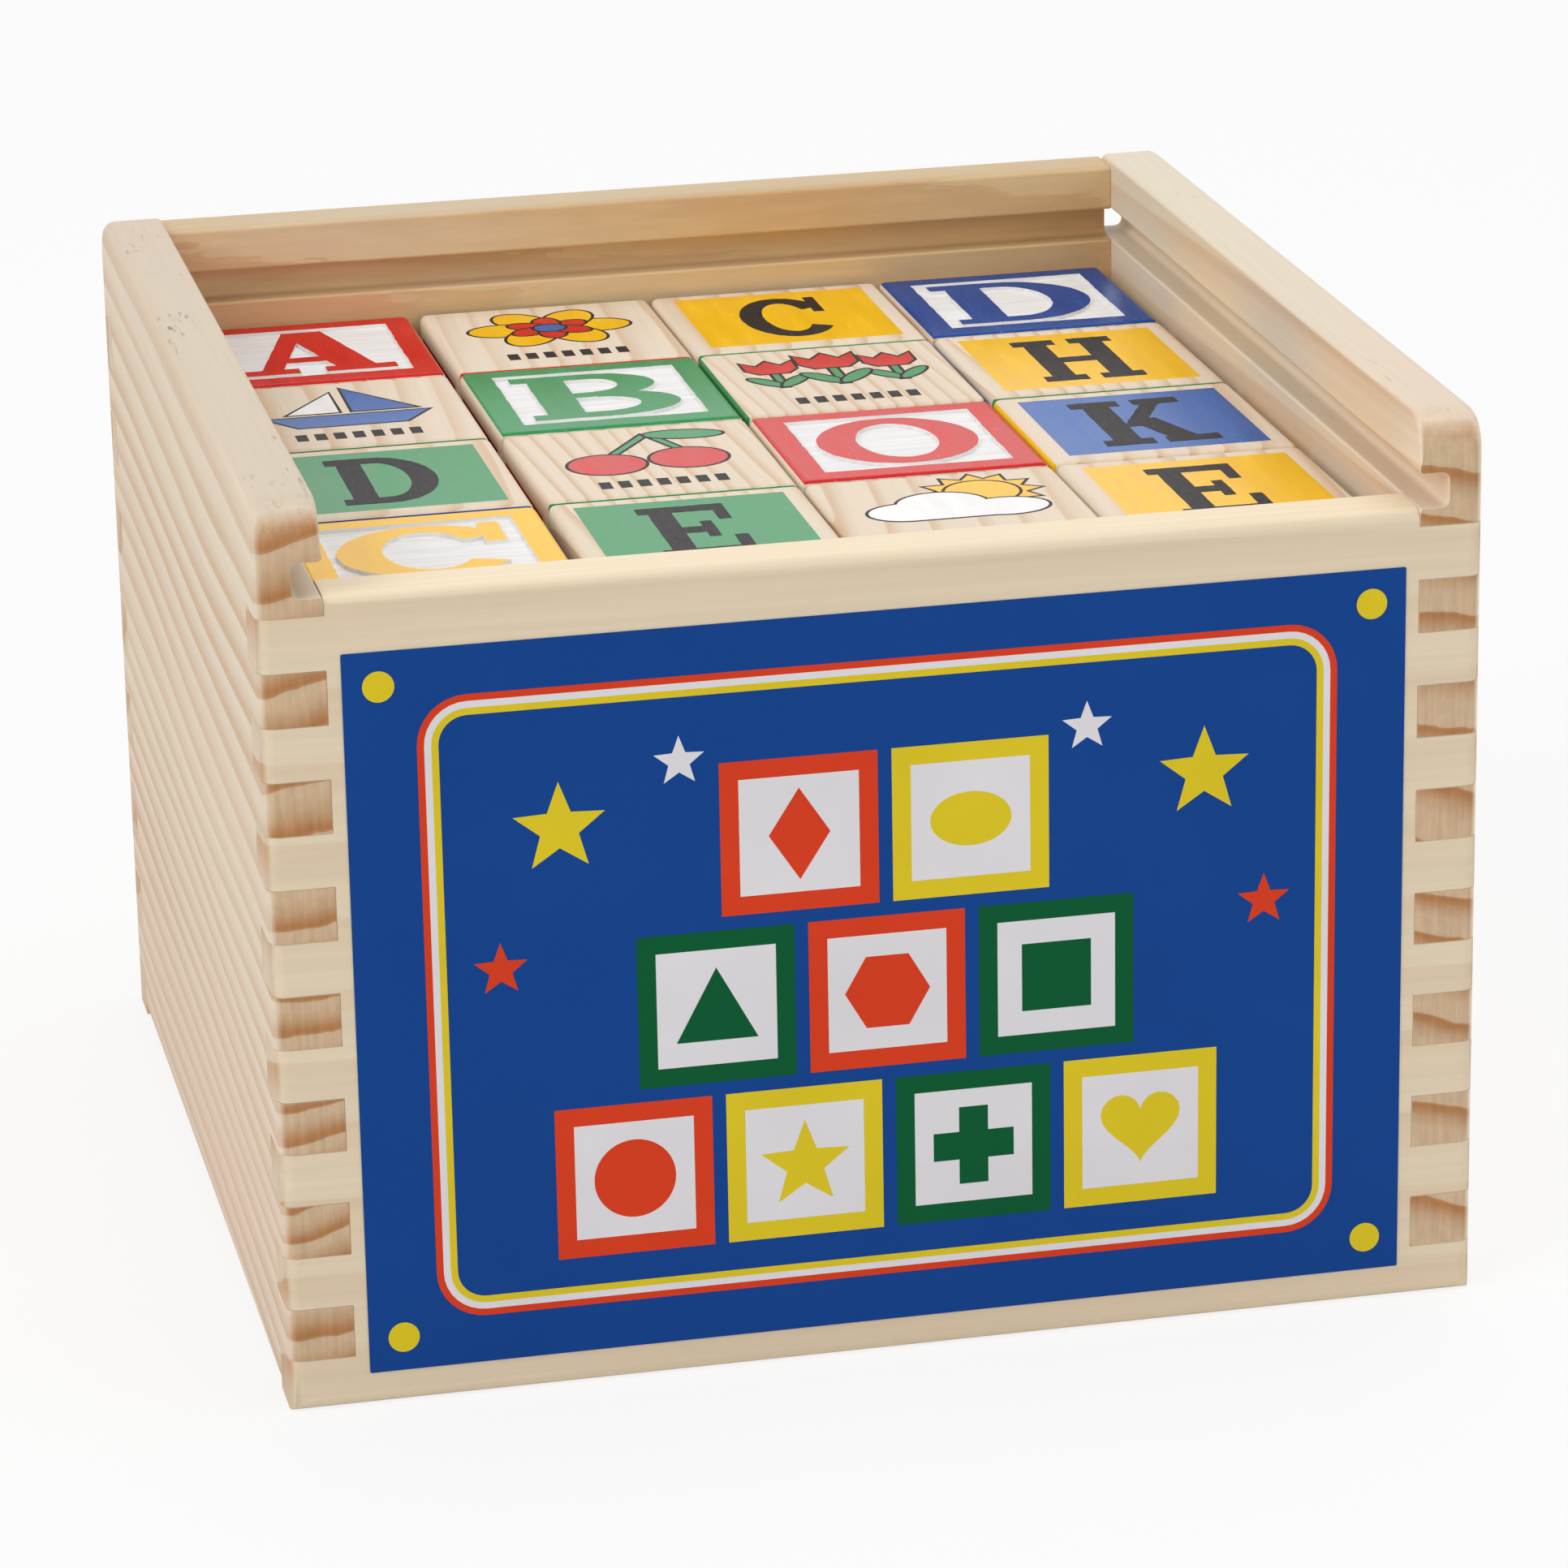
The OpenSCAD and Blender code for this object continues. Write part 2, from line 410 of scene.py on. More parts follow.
def pine(name, grain, heart, tones, spacing, contrast, lean=(0, 0, 0), calm=0.0, flecks=0.0,
         late_from=0.35, feather=0.0, lift=1.0, painted_top_light=1.0, narrow_at=0.0):
    """Sawn pine: growth rings about a heart line along the grain, fibres, and darker sawn ends.

    tones: early wood, late wood, blush, sawn end and the rings in that end
    spacing, contrast: width of a ring, and how strongly its late wood shows
    lean: degrees that the heart line leans from the grain
    calm: how far the rings fade on faces that look up
    flecks: strength of short dark streaks on the top edge
    late_from: share of a ring where late wood starts
    feather: metres that the rings' edges are torn by
    lift: how much lighter the wood is all over
    painted_top_light: painted light on faces that look up; below one it is painted shade, above one a
    painted highlight
    narrow_at: where set, rings get narrower outwards and have their spacing at this distance
    """
    pale, band, blush = (tuple(min(1.0, lift * c) for c in tone) for tone in tones[:3])
    end, end_band = (tuple(tone) for tone in tones[3:])
    wood = Surface(name)
    where = wood.place(heart, [t + l for t, l in zip(GRAIN_TURNS[grain], lean)])
    # Rings, with a slow waver and a fine one
    slow = wood.math("MULTIPLY", wood.grain(where, (18, 18, 4)), 0.016)
    fine = wood.math("MULTIPLY", wood.grain(where, (170, 170, 14)), 0.0016)
    across = wood.stretch(where, (1, 1, 0))
    reach = wood.add("ShaderNodeVectorMath", {0: across}, "Value", operation="LENGTH")
    wavered = wood.math("ADD", wood.math("ADD", reach, slow), fine)
    if feather:
        torn = wood.math("MULTIPLY", wood.grain(where, (520, 520, 60), 3.0), feather)
        wavered = wood.math("ADD", wavered, torn)
    rings = wood.math("DIVIDE", wavered, spacing)
    if narrow_at:
        rings = wood.math("MULTIPLY", rings, wood.math("DIVIDE", wavered, 2 * narrow_at))
    season = wood.math("FRACT", rings)
    late = wood.add("ShaderNodeValToRGB", {0: season})
    stops = late.node.color_ramp.elements
    stops[0].position, stops[0].color = 0.0, (0.16, 0.16, 0.16, 1)
    stops[1].position, stops[1].color = 1.0, (0.75, 0.75, 0.75, 1)
    stops.new(0.08).color = (0.03, 0.03, 0.03, 1)
    for part, level in LATE_STEPS:
        stops.new(late_from + (1 - late_from) * part).color = (level, level, level, 1)
    # Sawn ends face along the grain
    facing = wood.add("ShaderNodeTexCoord", {}, "Normal")
    along = wood.add("ShaderNodeVectorMath", {0: facing, 1: GRAIN_LINES[grain]}, "Value",
                     operation="DOT_PRODUCT")
    sawn = wood.span(wood.math("ABSOLUTE", along), 0.6, 0.9)
    patchy = wood.span(wood.grain(where, (30, 30, 6), 1.0), 0.3, 0.7, 0.45, 1.0)
    # Rings lie nearly level, so they fade on faces that look up
    upward = wood.add("ShaderNodeSeparateXYZ", {0: facing}, "Z")
    fading = wood.span(wood.math("ABSOLUTE", upward), 0.5, 1.0, contrast, contrast * (1 - calm))
    share = wood.math("MULTIPLY", wood.math("MULTIPLY", late, patchy), fading)
    body = wood.blend(wood.span(wood.grain(where, (22, 22, 5)), 0.35, 0.7), pale, blush)
    body = wood.blend(share, body, band)
    saw = wood.span(wood.grain(wood.place(), (1500, 1500, 130), 2.0), 0.3, 0.7, 0.88, 1.06)
    cut = wood.blend(1.0, wood.blend(late, end, end_band), wood.grey(saw), "MULTIPLY")
    body = wood.blend(sawn, body, cut)
    fibre = wood.grain(where, (900, 900, 16), 3.0)
    # Fibre tone, times painted light on faces that look up: painted shade where painted_top_light is below
    # one, a painted highlight where it is above one
    shade = wood.math("MULTIPLY", wood.span(fibre, 0.25, 0.75, 0.94, 1.04),
                      wood.span(upward, 0.6, 1.0, 1.0, painted_top_light))
    body = wood.blend(1.0, body, wood.grey(shade), "MULTIPLY")
    if flecks:
        # Short dark streaks in loose groups on the top edge
        streaks = wood.span(wood.grain(where, (1300, 1300, 240), 2.0), 0.56, 0.68, 0.0, flecks)
        groups = wood.span(wood.grain(where, (150, 150, 70), 1.0), 0.6, 0.7)
        marks = wood.math("MULTIPLY", wood.math("MULTIPLY", streaks, groups), wood.span(upward, 0.5, 1.0))
        body = wood.blend(marks, body, FLECK)
    height = wood.math("ADD", fibre, wood.math("MULTIPLY", late, 0.12))
    return wood.finish(body, wood.span(fibre, 0.2, 0.8, 0.48, 0.66), height,
                       depth=0.00012, strength=0.35, specular=0.2)


def paint(name, tint, wear):
    """Brushed paint on wood: streaks along the grain, small thin spots, and a soft gloss."""
    tint = tuple(tint)
    coat = Surface(name)
    where = coat.place()
    streaks = coat.grain(where, (420, 60, 420), 3.0)
    thin = coat.span(coat.grain(where, (1700, 700, 1700), 2.0), 0.66, 0.8, 0.0, wear)
    darker = tuple(0.92 * t for t in tint)
    lighter = tuple(min(1.0, t * 1.04 + 0.008) for t in tint)
    body = coat.blend(coat.span(streaks, 0.3, 0.7), darker, lighter)
    body = coat.blend(thin, body, WORN_WOOD)
    return coat.finish(body, coat.span(streaks, 0.25, 0.75, 0.2, 0.3), streaks,
                       depth=0.00005, strength=0.2, specular=0.08)


def routed_white(name, tint):
    """White ground of a letter panel, with the fine lines that the cutter left."""
    ground = Surface(name)
    where = ground.place()
    lines = ground.grain(where, (90, 1700, 1700), 2.0)
    body = ground.blend(ground.span(lines, 0.34, 0.66), tuple(0.86 * t for t in tint), tuple(tint))
    return ground.finish(body, 0.6, lines, depth=0.00012, strength=0.4, specular=0.3)


def printed_ink(name, tint):
    """Dark print that lets a little of the wood's texture through."""
    ink = Surface(name)
    specks = ink.grain(ink.place(), (1900, 500, 1900), 3.0)
    body = ink.blend(ink.span(specks, 0.35, 0.75), tuple(tint), tuple(t * 1.8 + 0.01 for t in tint))
    return ink.finish(body, 0.4, specks, depth=0.00005, strength=0.3, specular=0.04)


def printed_paper(name, tint):
    """Coated paper: even print, faint fibres and a satin sheen."""
    paper = Surface(name)
    fibres = paper.grain(paper.place(), (2200, 2200, 2200), 3.0)
    cloudy = paper.grain(paper.place(), (60, 60, 60), 2.0)
    body = paper.blend(paper.span(cloudy, 0.3, 0.7), tuple(0.94 * t for t in tint), tuple(tint))
    return paper.finish(body, paper.span(fibres, 0.3, 0.7, 0.36, 0.44), fibres,
                        depth=0.00002, strength=0.2, specular=0.06)


def bar(left, foot, right, head):
    return [(left, foot), (right, foot), (right, head), (left, head)]


def leg(foot_x, foot, head_x, head, width):
    """Slanting stroke of one width, measured level."""
    return [(foot_x, foot), (foot_x + width, foot), (head_x + width, head), (head_x, head)]


def bow(x, y, reach_x, reach_y, side, end, start, stop):
    """Curved stroke between two angles, thick at the sides and thinner at top and foot."""
    degrees_a_step = 9
    steps = max(6, round((stop - start) / degrees_a_step))
    angles = [math.radians(start + (stop - start) * i / steps) for i in range(steps + 1)]
    outer = [(x + reach_x * math.cos(a), y + reach_y * math.sin(a)) for a in angles]
    inner = [(x + (reach_x - side) * math.cos(a), y + (reach_y - end) * math.sin(a)) for a in angles]
    return outer + inner[::-1]


def oval(x, y, reach_x, reach_y, turn=0, steps=28):
    t = math.radians(turn)
    rim = [(reach_x * math.cos(math.tau * i / steps), reach_y * math.sin(math.tau * i / steps))
           for i in range(steps)]
    return [(x + u * math.cos(t) - v * math.sin(t), y + u * math.sin(t) + v * math.cos(t))
            for u, v in rim]


SERIF = 0.12


def stem(left, right):
    """Upright stroke of the full height."""
    return bar(left, 0, right, 1)


def foot_serif(left, right):
    return bar(left, 0, right, SERIF)


def head_serif(left, right):
    return bar(left, 1 - SERIF, right, 1)


# Slab-serif capitals as strokes, in shares of a broad letter's width and of the height
LETTERS = {
    "A": [leg(0.10, 0, 0.38, 1, 0.14), leg(0.64, 0, 0.38, 1, 0.26), bar(0.24, 0.26, 0.74, 0.38),
          foot_serif(0, 0.37), foot_serif(0.54, 1)],
    "B": [stem(0.1, 0.34), foot_serif(0, 0.5), head_serif(0, 0.5), bar(0.3, 0.46, 0.5, 0.57),
          bow(0.48, 0.73, 0.42, 0.27, 0.24, 0.12, -90, 90),
          bow(0.48, 0.285, 0.5, 0.285, 0.25, 0.12, -90, 90)],
    "C": [bow(0.5, 0.5, 0.54, 0.5, 0.27, 0.13, 28, 324), bar(0.86, 0.6, 0.99, 0.98)],
    "D": [stem(0.1, 0.34), foot_serif(0, 0.46), head_serif(0, 0.46),
          bow(0.45, 0.5, 0.54, 0.5, 0.26, 0.12, -90, 90)],
    "E": [stem(0.1, 0.34), foot_serif(0, 0.93), head_serif(0, 0.89), bar(0.3, 0.44, 0.66, 0.56),
          bar(0.79, 0, 0.93, 0.34), bar(0.76, 0.68, 0.89, 1), bar(0.55, 0.34, 0.67, 0.66)],
    "F": [stem(0.1, 0.34), foot_serif(0, 0.5), head_serif(0, 0.89), bar(0.3, 0.44, 0.66, 0.56),
          bar(0.76, 0.68, 0.89, 1), bar(0.55, 0.34, 0.67, 0.66)],
    "G": [bow(0.5, 0.5, 0.49, 0.5, 0.25, 0.13, 30, 330), bar(0.82, 0.62, 0.95, 0.98),
          bar(0.74, 0.04, 0.95, 0.44), bar(0.58, 0.34, 1.02, 0.46)],
    "H": [stem(0.1, 0.33), stem(0.67, 0.9), bar(0.3, 0.44, 0.7, 0.56), foot_serif(0, 0.43),
          head_serif(0, 0.43), foot_serif(0.57, 1), head_serif(0.57, 1)],
    "I": [stem(0.37, 0.63), foot_serif(0.2, 0.8), head_serif(0.2, 0.8)],
    "J": [bar(0.5, 0.3, 0.75, 1), head_serif(0.32, 0.92),
          bow(0.4, 0.32, 0.35, 0.32, 0.24, 0.13, 180, 360)],
    "K": [stem(0.1, 0.34), foot_serif(0, 0.44), head_serif(0, 0.44), leg(0.3, 0.4, 0.66, 0.95, 0.17),
          leg(0.62, 0.05, 0.38, 0.56, 0.25), head_serif(0.56, 0.97), foot_serif(0.55, 1.02)],
    "L": [stem(0.1, 0.34), foot_serif(0, 0.92), head_serif(0, 0.48), bar(0.78, 0, 0.92, 0.38)],
    "M": [stem(0.08, 0.22), stem(0.74, 0.96), leg(0.42, 0.16, 0.04, 1, 0.22),
          leg(0.46, 0.16, 0.8, 1, 0.14), foot_serif(-0.02, 0.32), foot_serif(0.64, 1.04),
          head_serif(-0.02, 0.2), head_serif(0.8, 1.04)],
    "N": [stem(0.1, 0.25), stem(0.76, 0.91), leg(0.66, 0, 0.08, 1, 0.25), foot_serif(0, 0.37),
          head_serif(0, 0.3), head_serif(0.62, 1.02)],
    "O": [bow(0.5, 0.5, 0.5, 0.5, 0.25, 0.13, 0, 190), bow(0.5, 0.5, 0.5, 0.5, 0.25, 0.13, 180, 370)],
    "P": [stem(0.1, 0.34), foot_serif(0, 0.5), head_serif(0, 0.5), bar(0.3, 0.41, 0.5, 0.53),
          bow(0.48, 0.705, 0.46, 0.295, 0.25, 0.12, -90, 90)],
    "Q": [bow(0.5, 0.5, 0.5, 0.5, 0.25, 0.13, 0, 190), bow(0.5, 0.5, 0.5, 0.5, 0.25, 0.13, 180, 370),
          leg(0.76, -0.04, 0.46, 0.3, 0.22)],
    "R": [stem(0.1, 0.34), foot_serif(0, 0.46), head_serif(0, 0.5), bar(0.3, 0.43, 0.5, 0.54),
          bow(0.48, 0.715, 0.44, 0.285, 0.25, 0.12, -90, 90), leg(0.64, 0.04, 0.42, 0.5, 0.25),
          foot_serif(0.6, 1.02)],
    "S": [bow(0.48, 0.73, 0.4, 0.27, 0.23, 0.13, 24, 270),
          bow(0.5, 0.28, 0.42, 0.28, 0.23, 0.13, -156, 90), bar(0.74, 0.68, 0.86, 0.98),
          bar(0.08, 0.02, 0.2, 0.32)],
    "T": [stem(0.37, 0.63), head_serif(0.02, 0.98), bar(0.02, 0.66, 0.15, 1), bar(0.85, 0.66, 0.98, 1),
          foot_serif(0.22, 0.78)],
    "U": [bar(0.1, 0.36, 0.34, 1), bar(0.74, 0.36, 0.9, 1),
          bow(0.5, 0.38, 0.4, 0.38, 0.2, 0.14, 180, 360), head_serif(0, 0.44), head_serif(0.62, 1.02)],
    "V": [leg(0.36, 0, 0.06, 1, 0.26), leg(0.44, 0, 0.76, 1, 0.15), head_serif(-0.02, 0.42),
          head_serif(0.62, 1.02)],
    "W": [leg(0.2, 0, 0.02, 1, 0.2), leg(0.24, 0, 0.42, 1, 0.13), leg(0.56, 0, 0.4, 1, 0.2),
          leg(0.62, 0, 0.84, 1, 0.13), head_serif(-0.04, 0.3), head_serif(0.72, 1.04)],
    "X": [leg(0.68, 0, 0.06, 1, 0.26), leg(0.08, 0, 0.74, 1, 0.16), foot_serif(-0.02, 0.38),
          foot_serif(0.58, 1.02), head_serif(-0.02, 0.42), head_serif(0.62, 1)],
    "Y": [leg(0.38, 0.42, 0.06, 1, 0.26), leg(0.44, 0.42, 0.76, 1, 0.15), bar(0.37, 0, 0.63, 0.5),
          head_serif(-0.02, 0.4), head_serif(0.64, 1.02), foot_serif(0.22, 0.78)],
    "Z": [foot_serif(0.06, 0.94), head_serif(0.06, 0.92), leg(0.06, 0.06, 0.62, 0.94, 0.3),
          bar(0.06, 0.68, 0.19, 1), bar(0.81, 0, 0.94, 0.32)],
}

ALPHABET = tuple(LETTERS)

# Width of each printed letter, as a share of a broad one's
PRINT_WIDTHS = {
    **dict.fromkeys(LETTERS, 0.86), "C": 0.82, "D": 0.92, "H": 0.95, "K": 1.04, "M": 1.08, "W": 1.12,
}


def star(x, y, reach, points=5, waist=0.42):
    rim = []
    for i in range(2 * points):
        r = reach if i % 2 == 0 else reach * waist
        a = math.pi / 2 + math.pi * i / points
        rim.append((x + r * math.cos(a), y + r * math.sin(a)))
    return rim


def heart_shape(x, y, reach, steps=36):
    """The usual heart curve, which is sixteen units wide to each side."""
    rim = []
    for i in range(steps):
        t = math.tau * i / steps
        across = 16 * math.sin(t) ** 3
        up = 13 * math.cos(t) - 5 * math.cos(2 * t) - 2 * math.cos(3 * t) - math.cos(4 * t)
        rim.append((x - across * reach / 16, y + (up + 2.5) * reach / 16))
    return rim


def shifted(outline, x, y, scale=1.0):
    return [(x + scale * u, y + scale * v) for u, v in outline]


FLOWER_Y = 3.5


def petals(tone, first, reach_x, reach_y, petal_x, petal_y):
    """Six ovals round the middle of a flower, from a first angle on."""
    rim = []
    for turn in range(first, first + 360, 60):
        a = math.radians(turn)
        rim.append((tone, oval(reach_x * math.cos(a), FLOWER_Y + reach_y * math.sin(a),
                               petal_x, petal_y, turn)))
    return rim


def berry(x, y):
    return ("red", oval(x, y, 1.1, 1.1))


# Printed pictures, in millimetres about the middle of a block's face: each shape has a colour
# and one or more outlines, which are printed as one
TULIP = [
    ("green", bar(-0.5, -6.5, 0.5, 2)),
    ("green", oval(-2.2, -3.2, 3.6, 1.1, 128)),
    ("green", oval(2.2, -3.2, 3.6, 1.1, 52)),
    ("red", [(-4, 8.4), (-3.9, 4), (-2.2, 1.6), (2.2, 1.6), (3.9, 4), (4, 8.4), (1.9, 6), (0, 8.8),
             (-1.9, 6)]),
]
TULIP_PLACES = ((-8, 2.4, 0.86), (8, 2.4, 0.86), (0, 3.2, 1.0))
PICTURES = {
    "flower": [*petals("yellow", 0, 6.4, 4.9, 4.6, 3.1), *petals("red", 30, 3.2, 2.6, 2.7, 1.7),
               ("blue", oval(0, FLOWER_Y, 2.1, 1.8))],
    "boat": [("blue", [(-10.5, -0.6), (-7, -5.6), (7, -5.6), (10.5, -0.6)]),
             ("blue", [(0.9, 0.8), (9.2, 0.8), (0.9, 12.2)]),
             ("white", [(-0.9, 0.8), (-0.9, 10.4), (-7.6, 0.8)])],
    "tulips": [(tone, shifted(outline, *place)) for place in TULIP_PLACES for tone, outline in TULIP],
    "cherries": [("green", [(-5.4, 1.5), (-4.6, 1.3), (2.2, 11.2), (1.4, 11.6)]),
                 ("green", [(5.0, 2.5), (5.8, 2.7), (2.4, 11.6), (1.6, 11.2)]),
                 ("red", oval(-5.4, -1.2, 4.9, 4.5)), ("red", oval(5.2, -0.4, 4.9, 4.5)),
                 ("green", oval(6.6, 10.4, 5.0, 1.9, -8))],
    "cloud": [("yellow", star(4.6, 6.6, 7.4, 12, 0.72)), ("yellow", oval(4.6, 6.6, 4.6, 4.6)),
              ("white", oval(-6.2, 0, 5.0, 3.7), oval(6.0, -0.4, 5.2, 3.6), oval(-1.4, 2.6, 5.6, 4.8),
               bar(-6.2, -3.7, 6.0, -0.6))],
    "kite": [("red", [(-1, 12), (-6.4, 5.4), (-1, 5.4)]), ("yellow", [(-1, 12), (-1, 5.4), (4.4, 5.4)]),
             ("blue", [(-6.4, 5.4), (-1, -3), (-1, 5.4)]), ("green", [(-1, 5.4), (-1, -3), (4.4, 5.4)]),
             ("red", [(1.2, -4.2), (4.4, -2.4), (4.4, -6)]), ("red", [(7.6, -2.4), (4.4, -4.2), (7.6, -6)])],
    "house": [("yellow", bar(-6.6, -5.4, 6.6, 4)), ("red", [(-8.8, 4), (8.8, 4), (0, 11.6)]),
              ("blue", bar(-1.8, -5.4, 1.8, 1.2)), ("white", bar(-5.2, -1, -3, 1.6)),
              ("white", bar(3, -1, 5.2, 1.6))],
    "tree": [("ink", bar(-1.3, -6, 1.3, 2)),
             ("green", oval(-4.6, 4.6, 4.8, 4.2), oval(4.6, 4.6, 4.8, 4.2), oval(0, 8, 5.4, 4.4)),
             berry(-4.2, 4.2), berry(3.8, 5.4), berry(0.2, 8.6)],
}
PICTURE_NAMES = tuple(PICTURES)
# Dark line round each shape, and the row of dark bars under a picture, in the same millimetres
OUTLINE = 0.42
FOOT_BAR = bar(-0.75, -1.5, 0.75, 1.5)
FOOT_BARS = 7
FOOT_PITCH = 2.45
FOOT_Y = -10.4

# What shows on top of the upper layer, back row first: kind of face, what is on it, its
# colour, and the colour of the frame on the block's front where that edge shows
TOP_ROWS = (
    (("raised", "A", "red", None), ("picture", "flower", None, "red"),
     ("printed", "C", "yellow", "green"), ("raised", "D", "blue", None)),
    (("picture", "boat", None, "green"), ("raised", "B", "green", None),
     ("picture", "tulips", None, "green"), ("printed", "H", "yellow", "green")),
    (("printed", "D", "green", "blue"), ("picture", "cherries", None, "green"),
     ("raised", "O", "red", None), ("printed", "K", "blue", "yellow")),
    (("raised", "C", "yellow", None), ("printed", "E", "green", None),
     ("picture", "cloud", None, None), ("printed", "E", "yellow", None)),
)


# A sharp corner's point moves out by no more than this many widths
MITRE_LIMIT = 2.2


def grown(outline, width):
    """Outline moved outwards by a width, for the dark line round a printed shape."""
    count = len(outline)
    following = outline[1:] + outline[:1]
    area = sum(a[0] * b[1] - b[0] * a[1] for a, b in zip(outline, following))
    way = 1 if area > 0 else -1
    moved = []
    for i, (x, y) in enumerate(outline):
        before = Vector((x, y)) - Vector(outline[i - 1])
        after = Vector(outline[(i + 1) % count]) - Vector((x, y))
        normal_a = way * Vector((before.y, -before.x)).normalized()
        normal_b = way * Vector((after.y, -after.x)).normalized()
        mitre = (normal_a + normal_b).normalized()
        reach = min(width / max(mitre.dot(normal_a), NEAR), MITRE_LIMIT * width)
        moved.append((x + mitre.x * reach, y + mitre.y * reach))
    return moved


def face_place(centre, normal, up):
    """Matrix that lays a flat drawing on a face, with its top towards up."""
    normal, up = Vector(normal), Vector(up)
    right = up.cross(normal)
    turned = Matrix((right, up, normal)).transposed().to_4x4()
    return Matrix.Translation(centre) @ turned


def placed_copy(source, place):
    """Copy of a piece with its own mesh, its place moved into that mesh."""
    piece = source.copy()
    piece.data = source.data.copy()
    bpy.context.scene.collection.objects.link(piece)
    activate(piece)
    piece.matrix_world = place
    bpy.ops.object.transform_apply(location=True, rotation=True, scale=True)
    return piece


def box_levels(sizes):
    """Thickness of the walls, level of the groove's lower lip and height of one finger."""
    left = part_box("left_side")
    wall = left[1].x - left[0].x
    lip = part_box("front_panel")[1].z
    finger = (lip - sizes.finger_lip) / sizes.fingers
    return wall, lip, finger


def both_at(a, b, axis, place):
    """Whether both ends of an edge lie at one place along an axis."""
    return max(abs(a[axis] - place), abs(b[axis] - place)) < NEAR


def groove_edges(sizes, axis, inner, way, lip):
    """Tests for the edges along the lid groove's lips and along its roots."""
    bottom = inner - way * sizes.groove_depth

    def lips(a, b):
        at_lip = min(abs(a.z - lip), abs(a.z - lip - sizes.groove_height)) < NEAR
        return both_at(a, b, axis, inner) and at_lip and abs(a.z - b.z) < NEAR

    def roots(a, b):
        return both_at(a, b, axis, bottom) and min(a.z, b.z) > lip - NEAR and abs(a.z - b.z) < NEAR

    return lips, roots


class LETTERBOX_OT_sides(bpy.types.Operator):
    """Makes the two grooved side walls with rounded top corners"""

    bl_idname = "letterbox.sides"
    bl_label = "Side walls"

    def execute(self, context):
        sizes, tones = context.scene.box_sizes, context.scene.finishes
        ends = (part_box("front_panel")[0].y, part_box("back_panel")[1].y)
        pines = (tones.pine, tones.pine_band, tones.pine_blush, tones.pine_end, tones.pine_end_band)
        # Both sides get painted shade on their top faces, which are darkened to 0.84 through
        # painted_top_light
        woods = {
            "left_side": pine("left_side_pine", "y", (-0.105, 0, 0.27), pines, 0.0056, 0.8,
                              lean=(1.5, 0, 0), calm=0.88, flecks=0.8, late_from=0.25, painted_top_light=0.84,
                              narrow_at=0.19),
            "right_side": pine("right_side_pine", "y", (-0.03, 0, -0.42), pines, 0.0061, 0.55,
                               lean=(-1.0, 0, 0), calm=0.95, flecks=0.25, late_from=0.45, lift=1.15,
                               painted_top_light=0.84),
        }
        for node, wood in woods.items():
            self.side(node, sizes, wood, ends)
        return {"FINISHED"}

    def side(self, node, sizes, wood, ends):
        wall, lip, finger = box_levels(sizes)
        low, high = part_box(node)
        way = 1 if low.x < 0 else -1
        outer, inner = (low.x, high.x) if way > 0 else (high.x, low.x)
        over = wall / 2
        piece = slab(node + "_wood", low, high)
        round_edges(piece, lambda a, b: min(a.z, b.z) > high.z - NEAR and abs(a.y - b.y) < NEAR,
                    sizes.corner_round, 10)
        cutters = []
        for k in range(0, sizes.fingers, 2):
            foot, head = k * finger if k else -over, (k + 1) * finger
            for end in ends:
                reach = wall if end < 0 else -wall
                near, far = sorted((end - math.copysign(over, reach), end + reach))
                cutters.append(slab("notch", (low.x - over, near, foot), (high.x + over, far, head)))
        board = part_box("bottom_board")[1].z
        for name, depth, foot, head in (("groove", sizes.groove_depth, lip, lip + sizes.groove_height),
                                        ("seat", sizes.board_seat, -over, board)):
            near, far = sorted((inner - way * depth, inner + way * over))
            cutters.append(slab(name, (near, ends[0] - over, foot), (far, ends[1] + over, head)))
        combine(piece, cutters, "DIFFERENCE")
        flat = high.y - sizes.corner_round
        curve = high.z - sizes.corner_round

        def on_top(v):
            if abs(v.y) <= flat + NEAR:
                return v.z > high.z - NEAR
            from_curve = math.hypot(abs(v.y) - flat, v.z - curve) - sizes.corner_round
            return v.z > curve - NEAR and abs(from_curve) < 2 * NEAR

        def outside(a, b):
            at_end = min(abs(a.y), abs(b.y)) > high.y - NEAR
            at_foot = max(a.z, b.z) < NEAR
            return both_at(a, b, 0, outer) and (at_end or at_foot or (on_top(a) and on_top(b)))

        def inside_top(a, b):
            return both_at(a, b, 0, inner) and on_top(a) and on_top(b)

        lips, roots = groove_edges(sizes, 0, inner, way, lip)
        round_edges(piece, roots, sizes.root_round, 3)
        round_edges(piece, lips, sizes.lip_round, 2)
        round_edges(piece, outside, sizes.edge_round, 4)
        round_edges(piece, inside_top, sizes.inner_round, 3)
        fine_bevel(piece, sizes.joint_line)
        piece.data.materials.append(wood)
        smooth(piece)
        stand_for(piece, node, "box")


